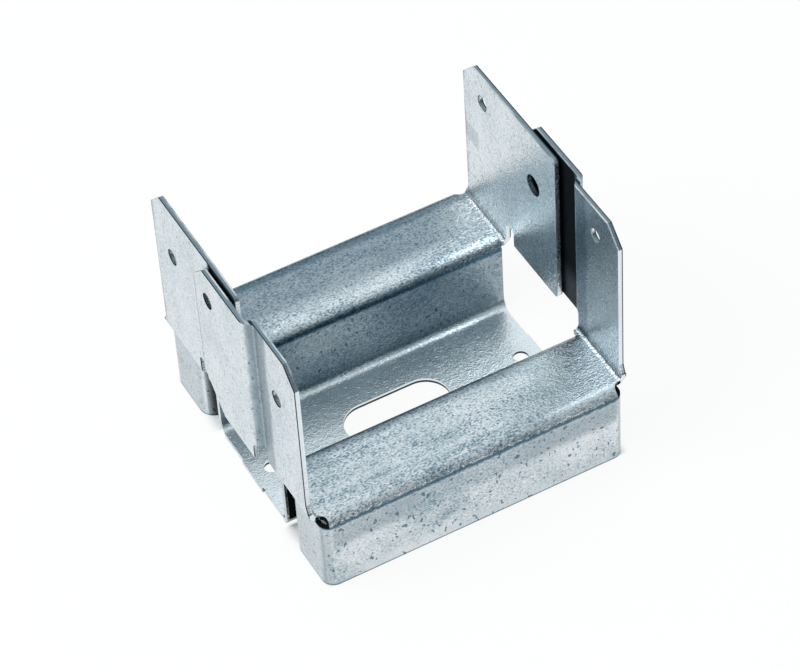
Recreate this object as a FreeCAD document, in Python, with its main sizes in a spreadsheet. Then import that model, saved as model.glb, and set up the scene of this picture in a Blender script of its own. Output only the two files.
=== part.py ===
"""Stand-off base for a nominal 4 x 4 timber post, folded from one galvanised sheet.

X runs along the two ridges that carry the post, Y from the front ridge to the back one, Z up.
The origin is at the middle of the floor, on the ground. All lengths are in millimetres.
"""
import FreeCAD, Part
import math
import os
import Sketcher

# Driving sizes. Each has a cell of its own in the sheet, and everything else is worked out from them.
SIZES = [
    ("thickness", 1.45, "galvanised sheet"),
    ("post_width", 90.5, "clear width between the upright flanges"),
    ("depth", 87.3, "over the outer walls of the two ridges"),
    ("standoff", 25.4, "height of the post's seat over the ground"),
    ("channel_width", 38.4, "between the two ridges, at the floor"),
    ("ridge_bend", 2.05, "inside radius along the top edges of a ridge"),
    ("floor_bend", 3.0, "inside radius between floor and ridge"),
    ("corner_bend", 2.05, "inside radius of the upright corners"),
    ("flange_bend", 1.5, "inside radius at the foot of a flange"),
    ("cap_inset", 0.75, "outer face of an end cap, in from a flange's inner face"),
    ("cap_drop", 1.65, "top of an end cap, under the seat's lower face"),
    ("curl_bend", 3.05, "inside radius of the curled end of a cap"),
    ("curl_gap", 3.85, "between the curled end and the ridge's inner wall"),
    ("curl_leg", 2.0, "straight part past the curl"),
    ("wall_inset", 1.3, "end of an inner wall, in from a flange's inner face"),
    ("short_wall_inset", 2.4, "the same for the back wall's left end, which is cut shorter"),
    ("floor_inset", 1.95, "end of the floor, in from a flange's inner face"),
    ("tab_width", 11.4, "stub left on the end of the floor where the blank was held"),
    ("tab_length", 0.45, "how far that stub stands out"),
    ("relief_radius", 2.0, "round hole where three folds meet"),
    ("relief_inset", 0.85, "its centre, in from a flange's inner face"),
    ("relief_edge", 1.1, "its centre, in from the outer wall's face"),
    ("flange_height", 51.6, "flange top over the seat"),
    ("flange_edge", 4.45, "flange's outer edge, in from the outer wall's face"),
    ("fold_flare", 0.95, "how much wider a flange is at its fold"),
    ("flare_height", 4.1, "height over the seat where that widening ends"),
    ("top_chamfer", 5.3, "45 degree corner at a flange's top"),
    ("back_reach", 8.3, "back flange's free edge, past the middle"),
    ("front_reach", 10.3, "front flange's free edge, past the middle"),
    ("foot_chamfer", 9.8, "45 degree corner at the front flange's free foot"),
    ("free_corner", 1.75, "radius of the back flange's free corners"),
    ("notch_set", 0.3, "end of the seat's fold, past a ridge's inner wall; a notch starts there"),
    ("back_notch", 4.2, "width of the notch in a back flange"),
    ("front_notch", 3.2, "width of the notch in a front flange"),
    ("notch_height", 6.5, "top of a notch over the seat"),
    ("notch_corner", 1.2, "radius of a notch's upper corners"),
    ("flange_gap", 1.0, "between the front and back flanges where they overlap"),
    ("joggle_start", 1.1, "where a front flange steps outward, past the end of the seat's fold"),
    ("joggle_run", 2.25, "length of that step"),
    ("joggle_bend", 1.0, "inside radius of that step"),
    ("nail_hole", 4.7, "nail holes in the flanges"),
    ("clearance_hole", 6.3, "hole in the back flange behind the shared nail hole"),
    ("low_nail", 33.9, "lower nail height over the seat"),
    ("high_nail", 42.2, "upper nail height over the seat"),
    ("back_nail", 29.3, "back nail from the middle"),
    ("shared_nail", 3.2, "nail through both flanges, behind the middle"),
    ("front_nail", 28.2, "front nail from the middle"),
    ("slot_length", 31.0, "anchor slot along the ridges"),
    ("slot_width", 14.3, "anchor slot across"),
    ("floor_hole", 4.4, "small holes at the ends of the floor"),
    ("floor_hole_inset", 7.25, "their centres, in from a flange's inner face"),
]

doc = FreeCAD.newDocument("post_base")
sheet = doc.addObject("Spreadsheet::Sheet", "Sizes")
for row, (alias, value, meaning) in enumerate(SIZES, start=1):
    sheet.set(f"A{row}", alias)
    sheet.set(f"B{row}", str(value))
    sheet.set(f"C{row}", meaning)
    sheet.setAlias(f"B{row}", alias)
doc.recompute()


class Size:
    """A length with its number and the sheet expression that gives it, kept together in sums."""

    def __init__(self, number, text):
        self.number = float(number)
        self.text = text

    def join(self, sign, other, number):
        other_text = other.text if isinstance(other, Size) else repr(other)
        return Size(number, f"({self.text} {sign} {other_text})")

    def __add__(self, other):
        return self.join("+", other, self.number + plain(other))

    def __sub__(self, other):
        return self.join("-", other, self.number - plain(other))

    def __mul__(self, other):
        return self.join("*", other, self.number * plain(other))

    def __truediv__(self, other):
        return self.join("/", other, self.number / plain(other))

    def __neg__(self):
        return self * -1

    def root(self):
        return Size(math.sqrt(self.number), f"sqrt({self.text})")


def plain(value):
    return value.number if isinstance(value, Size) else value


def cell(alias):
    return Size(sheet.get(alias), f"Sizes.{alias}")


NOTHING = Size(0, "0")

# Faces and levels that several features share.
thickness = cell("thickness")
seat = cell("standoff")
seat_below = seat - thickness
outer_wall = cell("depth") / 2
outer_wall_inside = outer_wall - thickness
inner_wall = cell("channel_width") / 2
inner_wall_hidden = inner_wall + thickness
flange_inside = cell("post_width") / 2
flange_outside = flange_inside + thickness
between_flanges = flange_outside + cell("flange_gap") / 2
flange_foot = seat + cell("flange_bend")
flange_top = seat + cell("flange_height")
flange_edge = outer_wall - cell("flange_edge")
fold_line = flange_inside - cell("flange_bend")
cap_face = flange_inside - cell("cap_inset")
cap_top = seat_below - cell("cap_drop")
ridge_round = cell("ridge_bend") + thickness
corner_round = cell("corner_bend") + thickness
wall_end = flange_inside - cell("wall_inset")
short_wall_end = flange_inside - cell("short_wall_inset")
floor_end = flange_inside - cell("floor_inset")
floor_bend_start = inner_wall - cell("floor_bend")
fold_near_end = inner_wall - cell("notch_set")
curl_face = inner_wall_hidden + cell("curl_gap")
relief_x = flange_inside - cell("relief_inset")
relief_y = outer_wall - cell("relief_edge")

body = doc.addObject("PartDesign::Body", "post_base")
body.Label = "post_base"
ORIGIN = -1
FIRST, LAST, CENTRE = range(1, 4)


def datum(name):
    return next(part for part in body.Origin.OriginFeatures if part.Role == name)


def new_sketch(name, plane, level=NOTHING):
    """An empty sketch on one of the body's planes, moved along its normal to the given level."""
    sketch = body.newObject("Sketcher::SketchObject", name)
    sketch.AttachmentSupport = [(datum(plane), "")]
    sketch.MapMode = "FlatFace"
    sketch.AttachmentOffset = FreeCAD.Placement(FreeCAD.Vector(0, 0, level.number), FreeCAD.Rotation())
    sketch.setExpression("AttachmentOffset.Base.z", level.text)
    return sketch


def tie(sketch, kind, places, size):
    """A dimension that follows the sheet."""
    index = sketch.addConstraint(Sketcher.Constraint(kind, *places, size.number))
    name = f"{kind}_{index}"
    sketch.renameConstraint(index, name)
    sketch.setExpression(f"Constraints.{name}", size.text)


def tie_point(sketch, item, end, across, up):
    tie(sketch, "DistanceX", (ORIGIN, FIRST, item, end), across)
    tie(sketch, "DistanceY", (ORIGIN, FIRST, item, end), up)


def rounding(before, corner, after, radius):
    """Start, middle and end of the arc that rounds a corner."""
    back = (before - corner).normalize()
    ahead = (after - corner).normalize()
    half = back.getAngle(ahead) / 2
    inward = (back + ahead).normalize()
    centre = corner + inward * (radius / math.sin(half))
    reach = radius / math.tan(half)
    return corner + back * reach, centre - inward * radius, corner + ahead * reach


def outline(sketch, corners):
    """A closed outline through (across, up) or (across, up, radius) corners, tied to the sheet."""
    points = [FreeCAD.Vector(corner[0].number, corner[1].number, 0) for corner in corners]
    arcs = []
    for number, corner in enumerate(corners):
        if len(corner) == 3:
            after = points[(number + 1) % len(points)]
            arcs.append(rounding(points[number - 1], points[number], after, corner[2].number))
        else:
            arcs.append((points[number],) * 3)
    sides = []
    for number, arc in enumerate(arcs):
        next_arc = arcs[(number + 1) % len(arcs)]
        sides.append(sketch.addGeometry(Part.LineSegment(arc[2], next_arc[0]), False))
    for number, corner in enumerate(corners):
        arriving, leaving = sides[number - 1], sides[number]
        if len(corner) == 2:
            sketch.addConstraint(Sketcher.Constraint("Coincident", arriving, LAST, leaving, FIRST))
            tie_point(sketch, leaving, FIRST, *corner)
            continue
        start, middle, end = arcs[number]
        arc = sketch.addGeometry(Part.Arc(start, middle, end), False)
        near, far = FIRST, LAST
        if sketch.getPoint(arc, FIRST).distanceToPoint(start) > sketch.getPoint(arc, LAST).distanceToPoint(start):
            near, far = LAST, FIRST
        sketch.addConstraint(Sketcher.Constraint("Tangent", arriving, LAST, arc, near))
        sketch.addConstraint(Sketcher.Constraint("Tangent", arc, far, leaving, FIRST))
        tie(sketch, "Radius", (arc,), corner[2])
        tip = sketch.addGeometry(Part.Point(points[number]), True)
        sketch.addConstraint(Sketcher.Constraint("PointOnObject", tip, FIRST, arriving))
        sketch.addConstraint(Sketcher.Constraint("PointOnObject", tip, FIRST, leaving))
        tie_point(sketch, tip, FIRST, corner[0], corner[1])


def circle(sketch, across, up, diameter):
    middle = FreeCAD.Vector(across.number, up.number, 0)
    ring = sketch.addGeometry(Part.Circle(middle, FreeCAD.Vector(0, 0, 1), diameter.number / 2), False)
    tie_point(sketch, ring, CENTRE, across, up)
    tie(sketch, "Diameter", (ring,), diameter)


def long_hole(sketch, length, width):
    """A slot with full round ends, along the sketch's first axis and centred on the origin."""
    reach = (length - width) / 2
    radius = width / 2
    up = FreeCAD.Vector(0, 0, 1)
    right_end = Part.Circle(FreeCAD.Vector(reach.number, 0, 0), up, radius.number)
    left_end = Part.Circle(FreeCAD.Vector(-reach.number, 0, 0), up, radius.number)
    right = sketch.addGeometry(Part.ArcOfCircle(right_end, -math.pi / 2, math.pi / 2), False)
    left = sketch.addGeometry(Part.ArcOfCircle(left_end, math.pi / 2, 3 * math.pi / 2), False)
    corner = FreeCAD.Vector(reach.number, radius.number, 0)
    across = FreeCAD.Vector(-2 * reach.number, 0, 0)
    top = sketch.addGeometry(Part.LineSegment(corner, corner + across), False)
    drop = FreeCAD.Vector(0, -2 * radius.number, 0)
    bottom = sketch.addGeometry(Part.LineSegment(corner + across + drop, corner + drop), False)
    for first, first_end, second, second_end in (
        (right, LAST, top, FIRST), (top, LAST, left, FIRST),
        (left, LAST, bottom, FIRST), (bottom, LAST, right, FIRST),
    ):
        sketch.addConstraint(Sketcher.Constraint("Tangent", first, first_end, second, second_end))
    tie_point(sketch, right, CENTRE, reach, NOTHING)
    tie(sketch, "DistanceX", (ORIGIN, FIRST, left, CENTRE), -reach)
    tie(sketch, "Radius", (right,), radius)


def volume():
    return body.Shape.Volume if body.Shape.Solids else 0.0


def settle(feature, adds):
    """Recomputes the body and makes sure that the new feature did what it is for."""
    before = settle.volume
    doc.recompute()
    after = volume()
    if (after > before) != adds or abs(after - before) < 1e-6:
        raise RuntimeError(f"{feature.Label} changed the volume from {before:.3f} to {after:.3f}")
    settle.volume = after
    return feature


settle.volume = 0.0


def pad(sketch, length, reverse=False):
    feature = body.newObject("PartDesign::Pad", sketch.Name + "_pad")
    feature.Profile = sketch
    feature.Reversed = reverse
    feature.setExpression("Length", length.text)
    return settle(feature, adds=True)


def pocket(sketch, length=None, reverse=False):
    """Cuts to a length on one side of the sketch, or both ways through all where none is given."""
    feature = body.newObject("PartDesign::Pocket", sketch.Name + "_cut")
    feature.Profile = sketch
    feature.Reversed = reverse
    if length is None:
        feature.Type = "ThroughAll"
        feature.SideType = "Symmetric"
    else:
        feature.setExpression("Length", length.text)
    return settle(feature, adds=False)


def round_bar(name, adds, plane, place, radius, length, turn=0, angle=360):
    """A cylinder, or a sector of one, that stands on a plane at (across, up, level) and adds or cuts."""
    kind = "PartDesign::AdditiveCylinder" if adds else "PartDesign::SubtractiveCylinder"
    bar = body.newObject(kind, name)
    bar.AttachmentSupport = [(datum(plane), "")]
    bar.MapMode = "FlatFace"
    rotation = FreeCAD.Rotation(FreeCAD.Vector(0, 0, 1), turn)
    bar.AttachmentOffset = FreeCAD.Placement(FreeCAD.Vector(*(part.number for part in place)), rotation)
    for axis, part in zip("xyz", place):
        bar.setExpression(f"AttachmentOffset.Base.{axis}", part.text)
    bar.setExpression("Radius", radius.text)
    bar.setExpression("Height", length.text)
    bar.Angle = angle
    return settle(bar, adds)


def mirror(name, plane):
    """Doubles the whole body about a plane."""
    feature = body.newObject("PartDesign::Mirrored", name)
    feature.MirrorPlane = (datum(plane), "")
    feature.TransformMode = "Whole shape"
    body.Tip = feature
    return settle(feature, adds=True)


def make_ridge():
    """Half of the hat section that the blank is folded to: floor, inner wall, seat and outer wall."""
    section = new_sketch("ridge_section", "YZ_Plane")
    outline(section, [
        (NOTHING, NOTHING),
        (inner_wall_hidden, NOTHING, cell("floor_bend") + thickness),
        (inner_wall_hidden, seat_below, cell("ridge_bend")),
        (outer_wall_inside, seat_below, cell("ridge_bend")),
        (outer_wall_inside, NOTHING),
        (outer_wall, NOTHING),
        (outer_wall, seat, ridge_round),
        (inner_wall, seat, ridge_round),
        (inner_wall, thickness, cell("floor_bend")),
        (NOTHING, thickness),
    ])
    pad(section, wall_end)


def trim_ends():
    """The ends as cut in the flat blank: the floor with its stub, the inner wall and the fold line."""
    beyond = flange_outside + thickness
    outside = outer_wall + thickness
    floor_stub = floor_end + cell("tab_length")
    half_tab = cell("tab_width") / 2
    seat_start = inner_wall + ridge_round
    trim = new_sketch("end_outline", "XY_Plane")
    outline(trim, [
        (floor_stub, -thickness),
        (floor_stub, half_tab),
        (floor_end, half_tab),
        (floor_end, floor_bend_start),
        (wall_end, inner_wall),
        (wall_end, seat_start),
        (fold_line, seat_start),
        (fold_line, outside),
        (beyond, outside),
        (beyond, -thickness),
    ])
    pocket(trim)


def close_end():
    """The outer wall turned round the corner into the end cap, and the cap's curled free end."""
    wall_stub = cap_face - corner_round - thickness
    curl_round = cell("curl_bend") + thickness
    curl_end = cap_face - curl_round - cell("curl_leg")
    cap = new_sketch("end_cap", "XY_Plane")
    outline(cap, [
        (wall_stub, outer_wall_inside),
        (wall_stub, outer_wall),
        (cap_face, outer_wall, corner_round),
        (cap_face, curl_face, curl_round),
        (curl_end, curl_face),
        (curl_end, curl_face + thickness),
        (cap_face - thickness, curl_face + thickness, cell("curl_bend")),
        (cap_face - thickness, outer_wall_inside, cell("corner_bend")),
    ])
    pad(cap, cap_top)

    # The ridge goes round the same upright corner, and the corner takes the ridge's round top edge.
    plan = new_sketch("corner_plan", "XY_Plane")
    outline(plan, [
        (wall_stub, outer_wall),
        (cap_face, outer_wall, corner_round),
        (cap_face, curl_face),
        (flange_outside, curl_face),
        (flange_outside, outer_wall + thickness),
        (wall_stub, outer_wall + thickness),
    ])
    pocket(plan)
    edge = new_sketch("corner_top", "YZ_Plane", wall_stub)
    low = seat - ridge_round - thickness
    outline(edge, [
        (outer_wall, low),
        (outer_wall, seat, ridge_round),
        (outer_wall - ridge_round - thickness, seat),
        (outer_wall - ridge_round - thickness, seat + thickness),
        (outer_wall + thickness, seat + thickness),
        (outer_wall + thickness, low),
    ])
    pocket(edge, flange_outside - wall_stub, reverse=True)


def fold_seat():
    """The fold from the seat up to a flange, ended by the round relief hole at the corner."""
    fold_end = relief_y - cell("relief_radius")
    width = fold_end - fold_near_end
    place = (fold_line, flange_foot, -fold_end)
    outer = cell("flange_bend") + thickness
    round_bar("fold_outside", True, "XZ_Plane", place, outer, width, turn=-90, angle=90)
    round_bar("fold_inside", False, "XZ_Plane", place, cell("flange_bend"), width, turn=-90, angle=90)
    height = flange_foot - cap_top
    round_bar("relief_hole", False, "XY_Plane", (relief_x, relief_y, cap_top), cell("relief_radius"), height)


def on_side(side, corners):
    """The same corners on the front or the back half."""
    return [(corner[0] * side, *corner[1:]) for corner in corners]


def outer_edge():
    """A flange's outer edge seen along X, from the fold to the top, with its 45 degree corner."""
    return [
        (flange_edge + cell("fold_flare"), flange_foot),
        (flange_edge, seat + cell("flare_height")),
        (flange_edge, flange_top - cell("top_chamfer")),
        (flange_edge - cell("top_chamfer"), flange_top),
    ]


def notch_edge(width):
    """The notch between the seat's fold and the part of a flange that crosses the channel."""
    top = seat + cell("notch_height")
    near_side = fold_near_end - width
    return [
        (near_side, flange_foot),
        (near_side, top, cell("notch_corner")),
        (fold_near_end, top, cell("notch_corner")),
        (fold_near_end, flange_foot),
    ]


def raise_back_flange():
    """The flat flange that stands next to the post."""
    free_edge = [
        (-cell("back_reach"), flange_top, cell("free_corner")),
        (-cell("back_reach"), flange_foot, cell("free_corner")),
    ]
    flange = new_sketch("back_flange", "YZ_Plane", flange_inside)
    outline(flange, outer_edge() + free_edge + notch_edge(cell("back_notch")))
    pad(flange, thickness)


def raise_front_flange():
    """The flange that steps outward to lap over the back one: its plan, then its outline."""
    step = thickness + cell("flange_gap")
    first_bend = cell("joggle_start") - fold_near_end
    second_bend = first_bend + cell("joggle_run")
    slope = (step * step + cell("joggle_run") * cell("joggle_run")).root()
    shift = thickness * step / (slope + cell("joggle_run"))
    tight = cell("joggle_bend")
    wide = tight + thickness
    fold_corner = -(flange_edge + cell("fold_flare"))
    free_edge = cell("front_reach")
    plan = new_sketch("front_flange_plan", "XY_Plane", flange_foot)
    outline(plan, [
        (flange_inside, fold_corner),
        (flange_inside, first_bend, wide),
        (flange_inside + step, second_bend, tight),
        (flange_inside + step, free_edge),
        (flange_outside + step, free_edge),
        (flange_outside + step, second_bend - shift, wide),
        (flange_outside, first_bend - shift, tight),
        (flange_outside, fold_corner),
    ])
    pad(plan, flange_top - flange_foot)

    # What lies outside the flange's own outline comes off, and so does its notch.
    over_top = flange_top + thickness
    top_corner = cell("top_chamfer")
    foot_corner = cell("foot_chamfer")
    edge = new_sketch("front_flange_edge", "YZ_Plane", flange_inside)
    outline(edge, on_side(-1, outer_edge()) + [
        (top_corner - flange_edge, over_top),
        (fold_corner - thickness, over_top),
        (fold_corner - thickness, flange_foot),
    ])
    outline(edge, on_side(-1, notch_edge(cell("front_notch"))))
    pocket(edge, step + thickness, reverse=True)

    free = new_sketch("front_flange_free_edge", "YZ_Plane", between_flanges)
    outline(free, [
        (free_edge - foot_corner, flange_foot),
        (free_edge, flange_foot + foot_corner),
        (free_edge, flange_top - top_corner),
        (free_edge - top_corner, flange_top),
        (free_edge - top_corner, over_top),
        (free_edge + thickness, over_top),
        (free_edge + thickness, flange_foot),
    ])
    pocket(free, step + thickness, reverse=True)


def shorten_back_wall():
    """The left end of the back ridge's inner wall, cut shorter than the other ends below the seat's bend."""
    hidden_side = inner_wall_hidden + thickness
    trim = new_sketch("back_wall_trim", "XY_Plane")
    outline(trim, [
        (-floor_end, floor_bend_start),
        (-short_wall_end, inner_wall),
        (-short_wall_end, hidden_side),
        (-flange_outside, hidden_side),
        (-flange_outside, floor_bend_start),
    ])
    pocket(trim, seat - ridge_round, reverse=True)


def drill_flanges():
    """Nail holes at staggered heights, so that nails from the two sides pass each other."""
    low = seat + cell("low_nail")
    high = seat + cell("high_nail")
    step = thickness + cell("flange_gap")
    for side, edge_height, shared_height in (("left", low, high), ("right", high, low)):
        sign = -1 if side == "left" else 1
        outward = side == "right"
        nails = new_sketch(side + "_nails", "YZ_Plane", fold_line * sign)
        circle(nails, cell("back_nail"), edge_height, cell("nail_hole"))
        circle(nails, cell("shared_nail"), shared_height, cell("nail_hole"))
        circle(nails, -cell("front_nail"), edge_height, cell("nail_hole"))
        pocket(nails, flange_outside + step - fold_line + thickness, reverse=outward)
        clearance = new_sketch(side + "_clearance", "YZ_Plane", fold_line * sign)
        circle(clearance, cell("shared_nail"), shared_height, cell("clearance_hole"))
        pocket(clearance, between_flanges - fold_line, reverse=outward)


def pierce_floor():
    """The long hole for the anchor, across which the base slides into line, and two small holes."""
    holes = new_sketch("floor_holes", "XY_Plane")
    long_hole(holes, cell("slot_length"), cell("slot_width"))
    place = flange_inside - cell("floor_hole_inset")
    circle(holes, place, NOTHING, cell("floor_hole"))
    circle(holes, -place, NOTHING, cell("floor_hole"))
    pocket(holes)


make_ridge()
trim_ends()
close_end()
fold_seat()
mirror("both_ridges", "XZ_Plane")
raise_back_flange()
raise_front_flange()
mirror("both_ends", "YZ_Plane")
shorten_back_wall()
drill_flanges()
pierce_floor()

for thing in doc.Objects:
    if "Invalid" in thing.State or "Error" in thing.State:
        raise RuntimeError(f"{thing.Label} did not compute: {thing.State}")
shape = body.Shape
if shape.isNull() or not shape.isValid() or len(shape.Solids) != 1:
    raise RuntimeError("the folded sheet is not one sound solid")

os.makedirs("parts", exist_ok=True)
shape.exportStep(f"parts/{body.Label}.step")
box = shape.BoundBox
print(f"{body.Label}: {box.XLength:.2f} x {box.YLength:.2f} x {box.ZLength:.2f} mm, {shape.Volume:.0f} mm3")
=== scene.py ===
# %% [markdown]
# # A timber post base, folded from one galvanised sheet
# This file is a short lesson in finishing a sheet metal part in Blender. The shape comes from a CAD
# model, so nothing here changes it. What Blender adds is the look: the zinc skin, the light of a small
# photo studio, a pale table and a camera that stands where the photographer stood.

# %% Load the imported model
import math

import bpy
from mathutils import Matrix, Vector


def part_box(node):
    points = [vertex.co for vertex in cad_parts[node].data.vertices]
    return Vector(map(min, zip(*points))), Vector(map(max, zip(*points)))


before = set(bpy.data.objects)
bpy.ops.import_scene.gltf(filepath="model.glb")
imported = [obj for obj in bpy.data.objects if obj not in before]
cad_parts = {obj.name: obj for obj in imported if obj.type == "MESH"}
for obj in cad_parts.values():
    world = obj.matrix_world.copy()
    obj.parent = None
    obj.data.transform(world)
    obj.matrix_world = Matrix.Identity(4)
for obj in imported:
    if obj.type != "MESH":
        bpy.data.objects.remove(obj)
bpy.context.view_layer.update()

MM = 0.001
folded_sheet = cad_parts["post_base"]
low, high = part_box("post_base")
print("folded sheet, mm:", [round(side / MM, 2) for side in high - low])

# %% [markdown]
# ## The zinc skin
# Hot dipped steel carries a thin coat of zinc. It mirrors its surroundings softly, and three things break
# the mirror up: a grain of half a millimetre, clouds a centimetre wide, and small pits and scratches from
# the press. A picture could hold all that, but it would stretch at each fold. A procedural material reads
# the place of each point in the object, in metres, so the grain has one size everywhere.
#
# A few helpers keep the node recipe readable. They add a node, do sums with Math nodes, make masks with
# soft borders, and lay one colour over another. A mask is a number that is 1 in one place of the part and
# 0 elsewhere.

# %% Helpers that add and link nodes
def add_node(tree, kind, title, **settings):
    node = tree.nodes.new(kind)
    node.label = title
    for name, value in settings.items():
        setattr(node, name, value)
    return node


def feed(tree, socket, value):
    """Sets a socket to a number, or links it to another node's output."""
    if isinstance(value, bpy.types.NodeSocket):
        tree.links.new(value, socket)
    else:
        socket.default_value = value


print("two helpers for nodes")

# %% Helpers that do sums
def reckon(tree, operation, *values):
    """One Math node. Each value is a number or an output."""
    node = add_node(tree, "ShaderNodeMath", operation.lower(), operation=operation)
    for socket, value in zip(node.inputs, values):
        feed(tree, socket, value)
    return node.outputs[0]


def plus(tree, *values):
    total = values[0]
    for value in values[1:]:
        total = reckon(tree, "ADD", total, value)
    return total


def minus(tree, value, taken_away):
    return reckon(tree, "SUBTRACT", value, taken_away)


def times(tree, *values):
    """The product. With masks, it is 1 only where every mask is 1."""
    product = values[0]
    for value in values[1:]:
        product = reckon(tree, "MULTIPLY", product, value)
    return product


print("four helpers for sums")

# %% Helpers for masks and layers
def ramp(tree, value, start, end, low_value=0.0, high_value=1.0):
    """A soft step: low_value below start, high_value above end."""
    node = add_node(tree, "ShaderNodeMapRange", "soft step", interpolation_type="SMOOTHSTEP")
    feed(tree, node.inputs["Value"], value)
    limits = {"From Min": start, "From Max": end, "To Min": low_value, "To Max": high_value}
    for name, limit in limits.items():
        node.inputs[name].default_value = limit
    return node.outputs["Result"]


def between(tree, value, low_end, high_end, soft):
    """A mask: 1 from low_end to high_end, 0 outside, with soft borders."""
    rise = ramp(tree, value, low_end - soft, low_end + soft)
    fall = ramp(tree, value, high_end - soft, high_end + soft, 1.0, 0.0)
    return times(tree, rise, fall)


def paint(tree, title, mask, under, over):
    """Lays one colour over another where the mask is 1."""
    node = add_node(tree, "ShaderNodeMix", title, data_type="RGBA")
    feed(tree, node.inputs["Factor"], mask)
    feed(tree, node.inputs["A"], under)
    feed(tree, node.inputs["B"], over)
    return node.outputs["Result"]


print("three helpers for masks and layers")

# %% Start the material and read the place of each point
zinc = bpy.data.materials.new("galvanised_zinc")
zinc.use_nodes = True
skin = zinc.node_tree
skin.nodes.clear()
place = add_node(skin, "ShaderNodeTexCoord", "place on the part").outputs["Object"]
axes = add_node(skin, "ShaderNodeSeparateXYZ", "the three directions")
feed(skin, axes.inputs[0], place)
along, across, up = axes.outputs[0], axes.outputs[1], axes.outputs[2]
off_side = reckon(skin, "ABSOLUTE", along)
off_middle = reckon(skin, "ABSOLUTE", across)
print("reading object coordinates")

# %% Read which way the sheet faces
true_normal = add_node(skin, "ShaderNodeNewGeometry", "surface").outputs["True Normal"]
facing = add_node(skin, "ShaderNodeSeparateXYZ", "which way the sheet faces")
feed(skin, facing.inputs[0], true_normal)
face_x, face_y, face_z = facing.outputs[0], facing.outputs[1], facing.outputs[2]
to_side = reckon(skin, "ABSOLUTE", face_x)
to_front = reckon(skin, "ABSOLUTE", face_y)
to_top = reckon(skin, "ABSOLUTE", face_z)
print("reading normals")

# %% Masks that several finishes share
is_level = ramp(skin, to_top, 0.80, 0.95)
is_wall = ramp(skin, to_front, 0.6, 0.9)
at_seat = ramp(skin, up, 22 * MM, 24 * MM)
at_floor = ramp(skin, up, 2 * MM, 3 * MM, 1.0, 0.0)
at_right_end = ramp(skin, along, 44 * MM, 45 * MM)
on_seat = times(skin, is_level, at_seat)
print("six shared masks")

# %% [markdown]
# ### Grain, clouds and pits
# Noise with its size given per metre: 2200 waves to the metre are about half a millimetre wide. The pits
# are the same kind of noise, stretched and cut off high, so that only its rare peaks are left.

# %% Grain and clouds
def noise(tree, title, waves, detail=2.0, rough=0.5, stretch=(1, 1, 1), distortion=0.0):
    mapping = add_node(tree, "ShaderNodeMapping", f"{title}: stretch")
    feed(tree, mapping.inputs["Vector"], place)
    mapping.inputs["Scale"].default_value = stretch
    texture = add_node(tree, "ShaderNodeTexNoise", title)
    feed(tree, texture.inputs["Vector"], mapping.outputs[0])
    settings = {"Scale": waves, "Detail": detail, "Roughness": rough, "Distortion": distortion}
    for name, setting in settings.items():
        texture.inputs[name].default_value = setting
    return texture.outputs["Fac"]


grain = noise(skin, "fine grain", 2200, detail=1, stretch=(0.6, 1, 1))
flakes = noise(skin, "zinc flakes", 700, rough=0.6, distortion=0.6)
clouds = noise(skin, "clouds", 75, detail=3, rough=0.55, distortion=0.3)
along_sheet = (0.22, 1, 0.35)
rolling = noise(skin, "rolling marks", 130, detail=3, rough=0.6, stretch=along_sheet, distortion=0.4)
pits = noise(skin, "pits", 1000, detail=1, stretch=(0.8, 1, 0.6))
print("five noises made")

# %% [markdown]
# ### Colour
# Zinc is a cool grey. On the upright flanges it is smooth and pale. On the seats and the walls, which
# were bent and pressed, the grain is rougher: the same noise is turned up there, so light and dark specks
# lie side by side. The number that goes into the colour ramp is 0.5 for plain zinc, less in a dark speck
# and more in a light one.

# %% How light each speck is
tone = plus(skin, times(skin, grain, 0.55), times(skin, flakes, 0.25), times(skin, clouds, 0.20))
rough_place = times(
    skin,
    ramp(skin, to_side, 0.30, 0.60, 1.0, 0.0),
    ramp(skin, up, 2 * MM, 5 * MM, 0.15, 1.0),
    ramp(skin, to_front, 0.6, 0.9, 1.0, 0.55),
    ramp(skin, clouds, 0.35, 0.62, 0.45, 1.0),
)
contrast = plus(skin, times(skin, rough_place, 3.7), 1.3)
streak_amount = ramp(skin, to_side, 0.30, 0.60, 1.3, 0.3)
speck = times(skin, minus(skin, tone, 0.5), contrast)
streak = times(skin, minus(skin, rolling, 0.5), streak_amount)
lightness = plus(skin, speck, streak, 0.5)
print("contrast of the specks: 1.3 on smooth sheet, up to 5 on rough sheet")

# %% The zinc's colours, with the pits over them
deep_teal = (0.04, 0.112, 0.165, 1)
colour = add_node(skin, "ShaderNodeValToRGB", "zinc colours")
feed(skin, colour.inputs["Fac"], lightness)
colour.color_ramp.elements[0].color = (0.19, 0.29, 0.35, 1)
colour.color_ramp.elements[1].color = (0.95, 0.97, 0.98, 1)
middle_grey = colour.color_ramp.elements.new(0.5)
middle_grey.color = (0.66, 0.73, 0.76, 1)
pit_mask = ramp(skin, pits, 0.65, 0.71)
visible_pits = times(skin, pit_mask, ramp(skin, to_front, 0.6, 0.9, 0.36, 0.8))
zinc_colour = paint(skin, "pits over zinc", visible_pits, colour.outputs["Color"], deep_teal)
print("colour ramp with", len(colour.color_ramp.elements), "stops")
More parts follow.
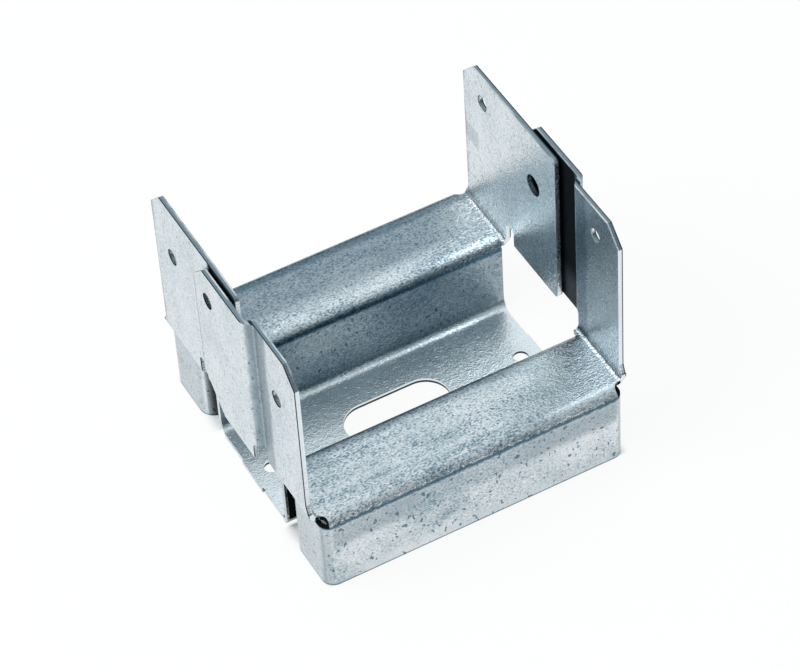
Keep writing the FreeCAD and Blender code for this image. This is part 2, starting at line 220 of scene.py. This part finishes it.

# %% [markdown]
# ### Painted shade and painted light
# The back seat and the channel's walls are painted darker. So are the outer walls, the end caps, the
# upright corners, the inner face of the right front flange and, a little, the front seat: all of it
# painted shade.
# A narrow dark line follows the seats' back edges, another runs along the bend in front of each seat, and
# a
# dark band lies under each bend: painted reflections of the dark room. A painted shadow runs along the
# sheet's bottom edge, where it meets the table. The channel's floor and the right end of the front seat
# are
# painted paler: painted light. A mask picks each place: a soft step on the point's distance
# from the middle, times a soft step on the way the surface faces. The borders of such places are never
# straight on real sheet, so the noise moves the point a little before it is measured.

# %% Masks on the seats
wobble = plus(skin, times(skin, clouds, 4 * MM), times(skin, rolling, 3 * MM))
wobble = minus(skin, wobble, 3.5 * MM)
wandering_along = plus(skin, along, wobble)
wandering_across = plus(skin, across, wobble)
wandering_up = plus(skin, up, wobble)
back_seat = times(
    skin,
    on_seat,
    ramp(skin, wandering_across, 23 * MM, 30 * MM),
    ramp(skin, wandering_along, 30 * MM, 42 * MM, 1.0, 0.35),
)
front_seat = times(skin, on_seat, ramp(skin, across, -19 * MM, -15 * MM, 1.0, 0.0))
front_seat_edge = between(skin, wandering_across, -23.5 * MM, -17 * MM, 0.9 * MM)
back_seat_edge = between(skin, wandering_across, 38.8 * MM, 45 * MM, 0.9 * MM)
seat_edge = times(skin, at_seat, plus(skin, front_seat_edge, back_seat_edge))
print("masks for two seats and their edges")

# %% Masks on the walls and the bends
channel_wall = times(skin, is_wall, ramp(skin, off_middle, 20 * MM, 21 * MM, 1.0, 0.0))
outer_wall = times(skin, is_wall, ramp(skin, off_middle, 43.4 * MM, 43.6 * MM))
bend_height = plus(skin, up, times(skin, minus(skin, flakes, 0.5), 1.5 * MM))
on_bend = times(
    skin,
    ramp(skin, times(skin, face_y, -1.0), 0.35, 0.6),
    between(skin, bend_height, 21.9 * MM, 23.2 * MM, 0.45 * MM),
)
under_bend = times(
    skin,
    outer_wall,
    between(skin, bend_height, 14.5 * MM, 22.0 * MM, 1.6 * MM),
    ramp(skin, rolling, 0.30, 0.60),
)
ground_edge = times(
    skin,
    ramp(skin, up, 0.35 * MM, 0.55 * MM, 1.0, 0.0),
    ramp(skin, off_middle, 24 * MM, 25 * MM),
)
print("masks for walls, bends and the edge on the ground")

# %% Masks on the ends
end_cap = times(
    skin,
    ramp(skin, to_side, 0.5, 0.9),
    between(skin, off_side, 43.9 * MM, 44.7 * MM, 0.1 * MM),
    ramp(skin, up, 22.6 * MM, 23 * MM, 1.0, 0.0),
)
upright_corner = times(
    skin,
    ramp(skin, to_side, 0.2, 0.45),
    ramp(skin, to_front, 0.2, 0.45),
    ramp(skin, off_middle, 40 * MM, 41 * MM),
)
right_front_flange = times(
    skin,
    at_right_end,
    ramp(skin, across, -19 * MM, -18 * MM, 1.0, 0.0),
    ramp(skin, times(skin, face_x, -1.0), 0.3, 0.9),
)
print("masks for caps, corners and one flange")

# %% Paint shade on the darker places
# Painted shade: every place in this list is darkened towards deep teal. The seat edges, the bend line and
# the band under the bend are painted reflections, and the edge on the ground is a painted shadow.
shade_painted_places = [
    ("back seat", back_seat, 0.58),
    ("channel walls", channel_wall, 0.62),
    ("outer walls", outer_wall, 0.14),
    ("under the bend", under_bend, 0.42),
    ("front seat", front_seat, 0.09),
    ("right front flange", right_front_flange, 0.50),
    ("end caps", end_cap, 0.22),
    ("upright corners", upright_corner, 0.30),
    ("edge on the ground", ground_edge, 0.70),
    ("seat edges", seat_edge, 0.55),
    ("bend line", on_bend, 0.92),
]
for title, mask, amount in shade_painted_places:
    zinc_colour = paint(skin, title, times(skin, mask, amount), zinc_colour, deep_teal)
print("duller places:", len(shade_painted_places))

# %% Paint light on the paler places
# Painted light: the channel's floor and the right end of the front seat are lightened.
light_painted_zinc = (0.90, 0.96, 0.98, 1)
floor_top = times(skin, is_level, at_floor)
front_seat_end = times(skin, front_seat, ramp(skin, wandering_along, 16 * MM, 32 * MM))
light_painted_places = [
    ("floor", floor_top, 0.85),
    ("right end of the front seat", front_seat_end, 0.55),
]
for title, mask, amount in light_painted_places:
    zinc_colour = paint(skin, title, times(skin, mask, amount), zinc_colour, light_painted_zinc)
print("paler places:", len(light_painted_places))

# %% [markdown]
# ### Marks of use, and a painted shadow line
# Two marks of use are drawn: a short scratch on the front seat and a smudge at the edge of the right back
# flange. The dark line along the free edge of each lapped flange is a painted shadow.

# %% Scratch, smudge and a painted shadow line
scratch = times(
    skin,
    on_seat,
    between(skin, along, 34.5 * MM, 37.1 * MM, 0.3 * MM),
    between(skin, across, -29.42 * MM, -29.18 * MM, 0.08 * MM),
)
smudge = times(
    skin,
    at_right_end,
    between(skin, wandering_across, 33 * MM, 45 * MM, 0.8 * MM),
    between(skin, wandering_up, 48.5 * MM, 54.5 * MM, 0.8 * MM),
)
# Painted shadow: a thin dark line along the free edge of each lapped flange.
lap_shadow_painted = times(
    skin,
    ramp(skin, off_side, 48.9 * MM, 49.0 * MM),
    between(skin, across, 9.95 * MM, 10.4 * MM, 0.08 * MM),
)
marks = [("scratch", scratch, 0.85), ("smudge", smudge, 0.28), ("burr line", lap_shadow_painted, 0.6)]
for title, mask, amount in marks:
    zinc_colour = paint(skin, title, times(skin, mask, amount), zinc_colour, deep_teal)
print("marks:", len(marks))

# %% [markdown]
# ### Cut edges
# A press cuts sheet in two stages. It shears the first third cleanly, which leaves a bright burnished
# strip, and then the rest breaks, which leaves a dark rough strip. Both show on every flange edge, in the
# holes and along the slot. The bright strip is partly a painted highlight. The near-black outer rim of the
# flange edges and the lower strip in the walls of the slot and holes are painted shade. Flange edges that
# face front or back are painted paler: painted light. The place inside the sheet's thickness picks the
# strip. The front flanges step outward where they lap over the back ones, so their depth is measured from
# a face that lies further out.

# %% Edges of the flanges
FLANGE_FACE = 45.25 * MM
LAP_STEP = 2.45 * MM
burnish_and_highlight = (0.80, 0.86, 0.88, 1)
broken = (0.22, 0.29, 0.33, 1)
painted_light_edge = (0.75, 0.82, 0.85, 1)
shaded_black_edge = (0.03, 0.045, 0.055, 1)
step_out = times(skin, reckon(skin, "GREATER_THAN", off_side, 47.2 * MM), LAP_STEP)
depth = minus(skin, minus(skin, off_side, FLANGE_FACE), step_out)
flange_cut = times(
    skin,
    ramp(skin, to_side, 0.30, 0.45, 1.0, 0.0),
    ramp(skin, off_side, 44.3 * MM, 44.6 * MM),
    ramp(skin, up, 24.2 * MM, 24.6 * MM),
)
bright_part = times(skin, ramp(skin, depth, 0.30 * MM, 0.55 * MM, 1.0, 0.0), ramp(skin, clouds, 0.35, 0.6))
# Painted light and shade: edges facing front or back are painted paler, the burnished strip is partly a
# painted highlight, and the outer rim is painted shade.
cut_colour = paint(skin, "upright edges", ramp(skin, to_front, 0.90, 0.98), broken, painted_light_edge)
cut_colour = paint(skin, "burnished strip", bright_part, cut_colour, burnish_and_highlight)
cut_colour = paint(skin, "outer rim", ramp(skin, depth, 1.05 * MM, 1.25 * MM), cut_colour, shaded_black_edge)
zinc_colour = paint(skin, "flange edges", flange_cut, zinc_colour, cut_colour)
print("flange edges done")

# %% Walls of the slot and of the small holes in the floor
floor_cut = times(
    skin,
    ramp(skin, to_top, 0.3, 0.5, 1.0, 0.0),
    ramp(skin, up, 1.5 * MM, 1.6 * MM, 1.0, 0.0),
    ramp(skin, off_side, 42.0 * MM, 42.6 * MM, 1.0, 0.0),
    ramp(skin, off_middle, 16.0 * MM, 17.0 * MM, 1.0, 0.0),
)
# Painted shade: the lower strip of these walls is near black.
floor_cut_colour = paint(skin, "slot strips", ramp(skin, up, 0.70 * MM, 0.85 * MM), shaded_black_edge, burnish_and_highlight)
zinc_colour = paint(skin, "floor edges", floor_cut, zinc_colour, floor_cut_colour)
print("floor edges done")

# %% [markdown]
# ### Where no light gets in
# Inside the ridges, in the lap between two flanges, on top of the end caps and in the small relief holes
# at the corners, little light gets in, so the colour there is painted almost black: painted shade. A mask
# on the point's place picks each of those surfaces. Some light still reaches the curled end of a cap at
# the back, and the foot of the lap, so the painted shade is lighter there.

# %% Inside the ridges
inside_ridge = times(
    skin,
    between(skin, off_middle, 20.55 * MM, 42.30 * MM, 0.04 * MM),
    ramp(skin, up, 24.0 * MM, 24.1 * MM, 1.0, 0.0),
    ramp(skin, off_side, 43.2 * MM, 43.5 * MM, 1.0, 0.0),
)
curl_light = times(
    skin,
    ramp(skin, off_side, 36 * MM, 37 * MM),
    between(skin, across, 20 * MM, 29.4 * MM, 0.2 * MM),
    ramp(skin, off_side, 41.6 * MM, 44.4 * MM, 0.1, 0.9),
)
inside_ridge = times(skin, inside_ridge, minus(skin, 1.0, curl_light))
cap_top = times(skin, is_level, between(skin, up, 22.0 * MM, 22.6 * MM, 0.1 * MM))
print("masks for the ridges and the caps' tops")

# %% Between the lapped flanges
inward = reckon(skin, "LESS_THAN", times(skin, along, face_x), 0.0)
in_the_lap = times(
    skin,
    inward,
    between(skin, off_side, 46.95 * MM, 47.76 * MM, 0.04 * MM),
    ramp(skin, wandering_across, -18.5 * MM, -14 * MM, 0.3, 1.0),
    ramp(skin, up, 32 * MM, 42 * MM, 0.92, 1.0),
)
under_lap = times(
    skin,
    minus(skin, 1.0, inward),
    ramp(skin, to_side, 0.80, 0.95),
    between(skin, off_side, 46.5 * MM, 46.9 * MM, 0.1 * MM),
    between(skin, across, -14 * MM, 6.4 * MM, 0.8 * MM),
)
print("masks for both sides of the lap")

# %% In the relief holes
RELIEF_X = 44.4 * MM
RELIEF_Y = 42.55 * MM
square_x = reckon(skin, "POWER", minus(skin, off_side, RELIEF_X), 2.0)
square_y = reckon(skin, "POWER", minus(skin, off_middle, RELIEF_Y), 2.0)
from_hole = reckon(skin, "SQRT", plus(skin, square_x, square_y))
relief_wall = times(
    skin,
    ramp(skin, from_hole, 2.03 * MM, 2.10 * MM, 1.0, 0.0),
    ramp(skin, up, 22.0 * MM, 22.4 * MM),
    ramp(skin, up, 25.2 * MM, 25.3 * MM, 1.0, 0.0),
)
print("mask for four relief holes")

# %% Paint shade where no light gets in
# Painted shade: every mask here takes the colour down to almost black.
painted_shade = inside_ridge
for mask in (in_the_lap, under_lap, relief_wall, cap_top):
    painted_shade = reckon(skin, "MAXIMUM", painted_shade, mask)
unlit = (0.004, 0.006, 0.008, 1)
zinc_colour = paint(skin, "hidden faces", times(skin, painted_shade, 0.99), zinc_colour, unlit)
print("hidden faces done")

# %% [markdown]
# ### Thin dark rims
# A fine dark line is painted along each sharp edge, round every flange: painted shade. The Bevel node
# finds the edges by itself: near one, it bends the normal, and the angle to the true normal is the mask.

# %% Rims
RIM_WIDTH = 0.22 * MM
rounded = add_node(skin, "ShaderNodeBevel", "normal near edges", samples=4)
rounded.inputs["Radius"].default_value = RIM_WIDTH
likeness = add_node(skin, "ShaderNodeVectorMath", "angle to the edge", operation="DOT_PRODUCT")
feed(skin, likeness.inputs[0], rounded.outputs["Normal"])
feed(skin, likeness.inputs[1], true_normal)
rim = ramp(skin, likeness.outputs["Value"], 0.82, 0.98, 1.0, 0.0)
# Painted shade: a thin dark line along the edges.
zinc_colour = paint(skin, "rims", times(skin, rim, 0.6), zinc_colour, deep_teal)
print("rim width, mm:", round(RIM_WIDTH / MM, 2))

# %% [markdown]
# ### Relief
# Bump moves the light and not the shape. The grain is a few hundredths of a millimetre high, less on the
# upright flanges and the floor, which the press left smooth. The clouds are a gentle waviness that makes
# the reflections wander, as they do on thin sheet.

# %% Bump
grain_height = plus(skin, times(skin, grain, 0.12 * MM), times(skin, flakes, 0.12 * MM))
coarse = times(
    skin,
    ramp(skin, to_side, 0.55, 0.9, 1.0, 0.65),
    ramp(skin, up, 2 * MM, 3 * MM, 0.6, 1.0),
)
height = times(skin, grain_height, coarse)
height = minus(skin, height, times(skin, pit_mask, 0.03 * MM))
height = plus(skin, height, times(skin, clouds, 0.25 * MM))
relief = add_node(skin, "ShaderNodeBump", "relief")
relief.inputs["Strength"].default_value = 1.0
relief.inputs["Distance"].default_value = 1.0
feed(skin, relief.inputs["Height"], height)
print("relief made")

# %% [markdown]
# ### The shader
# Zinc is a metal, so its colour is the colour of its reflections. The faces painted in shade are no metal
# in the shader, because a metal mirrors the room brightly at a flat angle, however dark its colour is.

# %% Shader
metal = add_node(skin, "ShaderNodeBsdfPrincipled", "zinc")
roughness = ramp(skin, tone, 0.3, 0.7, 0.34, 0.24)
metal.inputs["Specular IOR Level"].default_value = 0.0
feed(skin, metal.inputs["Metallic"], minus(skin, 1.0, painted_shade))
feed(skin, metal.inputs["Base Color"], zinc_colour)
feed(skin, metal.inputs["Roughness"], plus(skin, roughness, times(skin, painted_shade, 0.6)))
feed(skin, metal.inputs["Normal"], relief.outputs["Normal"])
output = add_node(skin, "ShaderNodeOutputMaterial", "surface")
feed(skin, output.inputs["Surface"], metal.outputs["BSDF"])
folded_sheet.material_slots[0].material = zinc
print("material on", folded_sheet.name)

# %% [markdown]
# ## The table
# A white sheet of board that lies under the part, lit like a light table, so that it is white all over
# and the part's shadow on it stays faint. The board glows only for what the camera sees, straight or in
# the metal, which the Light Path node tells. It doesn't glow under the ridges, where no light gets in.

# %% Floor
TABLE_WIDTH = 3.0
bpy.ops.object.select_all(action="DESELECT")
bpy.ops.mesh.primitive_plane_add(size=TABLE_WIDTH, location=(0, 0, 0))
table = bpy.context.object
table.name = "table"
bpy.ops.object.mode_set(mode="EDIT")
bpy.ops.mesh.subdivide(number_cuts=4)
bpy.ops.object.mode_set(mode="OBJECT")
board = bpy.data.materials.new("white_board")
board.use_nodes = True
tree = board.node_tree
matt = tree.nodes["Principled BSDF"]
matt.inputs["Base Color"].default_value = (0.92, 0.92, 0.92, 1)
matt.inputs["Roughness"].default_value = 0.9
matt.inputs["Specular IOR Level"].default_value = 0.1
table.data.materials.append(board)
print("table", [round(side, 2) for side in table.dimensions])

# %% The board's glow
GLOW_SHARE = 0.9
glow = add_node(tree, "ShaderNodeEmission", "white glow")
rays = add_node(tree, "ShaderNodeLightPath", "which ray asks").outputs
seen = reckon(tree, "MAXIMUM", rays["Is Camera Ray"], rays["Is Glossy Ray"])
seen = reckon(tree, "MAXIMUM", seen, rays["Is Transmission Ray"])
spot = add_node(tree, "ShaderNodeSeparateXYZ", "place on the board")
feed(tree, spot.inputs[0], add_node(tree, "ShaderNodeTexCoord", "board").outputs["Object"])
under_ridge = times(
    tree,
    ramp(tree, reckon(tree, "ABSOLUTE", spot.outputs[0]), 42 * MM, 46 * MM, 1.0, 0.0),
    between(tree, reckon(tree, "ABSOLUTE", spot.outputs[1]), 19.5 * MM, 43.3 * MM, 0.6 * MM),
)
open_board = minus(tree, 1.0, under_ridge)
glowing = add_node(tree, "ShaderNodeMixShader", "board and glow")
feed(tree, glowing.inputs["Fac"], times(tree, seen, open_board, GLOW_SHARE))
tree.links.new(matt.outputs["BSDF"], glowing.inputs[1])
tree.links.new(glow.outputs["Emission"], glowing.inputs[2])
tree.links.new(glowing.outputs["Shader"], tree.nodes["Material Output"].inputs["Surface"])
print("glow strength", glow.inputs["Strength"].default_value)

# %% [markdown]
# ## The light
# Metal shows the room more than the lamps. The room here is a grey studio: dark at the height of the
# table edge and lighter overhead, most of all to the right and behind. That dark band is what draws the
# folds as blue lines. One large soft lamp, overhead and to the left, does the rest.

# %% The room as a world
DARK_WALL = (0.015, 0.045, 0.065, 1)
PALE_PANEL = (0.84, 0.90, 0.935, 1)
room = bpy.data.worlds.new("studio")
bpy.context.scene.world = room
room.use_nodes = True
tree = room.node_tree
direction = add_node(tree, "ShaderNodeTexCoord", "direction").outputs["Generated"]
parts = add_node(tree, "ShaderNodeSeparateXYZ", "parts of the direction")
feed(tree, parts.inputs[0], direction)
toward_right = ramp(tree, parts.outputs[0], -0.45, 0.22, 0.62, 1.0)
toward_back = ramp(tree, parts.outputs[1], -0.6, 0.3, 0.62, 1.0)
ceiling = ramp(tree, parts.outputs[2], 0.08, 0.46)
light_part = times(tree, ceiling, toward_back, toward_right)
shades = paint(tree, "dark wall to pale panel", light_part, DARK_WALL, PALE_PANEL)
feed(tree, tree.nodes["Background"].inputs["Color"], shades)
tree.nodes["Background"].inputs["Strength"].default_value = 1.0
print("room made")

# %% The soft lamp
LAMP_PLACE = Vector((-0.66, 0.12, 1.0))
LAMP_AIM = Vector((0, 0, 30 * MM))
key = bpy.data.lights.new("key", "AREA")
key.shape = "RECTANGLE"
key.size = 1.0
key.size_y = 1.0
key.energy = 10
lamp = bpy.data.objects.new("key", key)
bpy.context.scene.collection.objects.link(lamp)
lamp.location = LAMP_PLACE
lamp.rotation_euler = (LAMP_AIM - LAMP_PLACE).to_track_quat("-Z", "Y").to_euler()
print("lamp:", lamp.name, key.energy, "W")

# %% [markdown]
# ## The camera
# The photograph was solved for its camera: where it stood, which way it looked, and how long its lens
# was. The numbers are the azimuth and height of the view and a small roll, in degrees, the place in
# millimetres, and the focal length as pixels of an 800 pixel wide picture.

# %% Camera
TURN, RISE, ROLL = math.radians(-26.1248), math.radians(46.7249), math.radians(-3.9732)
FOCAL_PIXELS, PICTURE_PIXELS = 3792.6, 800
STANDS_AT = (-296.98, -610.19, 751.28)
toward = Vector((math.sin(TURN) * math.cos(RISE), -math.cos(TURN) * math.cos(RISE), math.sin(RISE)))
level = (-toward).cross(Vector((0, 0, 1))).normalized()
upright = level.cross(-toward)
right = math.cos(ROLL) * level + math.sin(ROLL) * upright
top = -math.sin(ROLL) * level + math.cos(ROLL) * upright
lens = bpy.data.cameras.new("camera")
lens.sensor_width = 36
lens.lens = FOCAL_PIXELS * lens.sensor_width / PICTURE_PIXELS
lens.clip_start, lens.clip_end = 0.01, 20
camera = bpy.data.objects.new("camera", lens)
bpy.context.scene.collection.objects.link(camera)
stand = Matrix.Translation(Vector(STANDS_AT) * MM)
camera.matrix_world = stand @ Matrix((right, top, toward)).transposed().to_4x4()
bpy.context.scene.camera = camera
bpy.context.scene.view_settings.view_transform = "Standard"
print("lens, mm:", round(lens.lens, 1))
